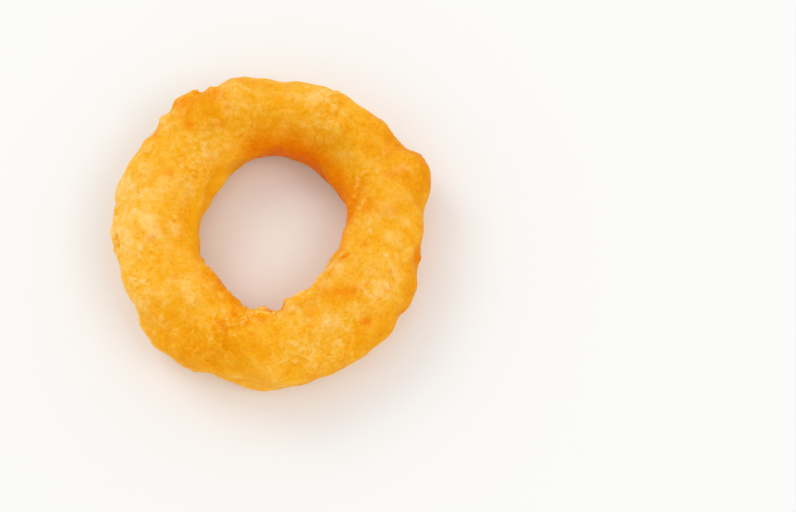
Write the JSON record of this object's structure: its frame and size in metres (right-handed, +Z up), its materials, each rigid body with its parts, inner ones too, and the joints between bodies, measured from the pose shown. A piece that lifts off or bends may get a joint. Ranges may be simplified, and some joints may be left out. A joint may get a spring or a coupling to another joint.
{
  "type": "onion ring",
  "caption": "Battered, deep-fried onion ring with a thick, uneven golden crust and an open middle, lying flat.",
  "frame": {"origin": "on the flat resting spot's plane, under the middle of the ring's box", "axes": "+Z up through the hole, out of the shown side; -Y towards the viewer, +X to the viewer's right, where the large batter lump is"},
  "size_m": [0.0832, 0.0842, 0.0217],
  "materials": {
    "batter": "fried batter: soft satin, uneven golden yellow with orange-brown patches and fine crumb"
  },
  "bodies": {
    "root": {"onion_ring": "batter"}
  },
  "joints": []
}
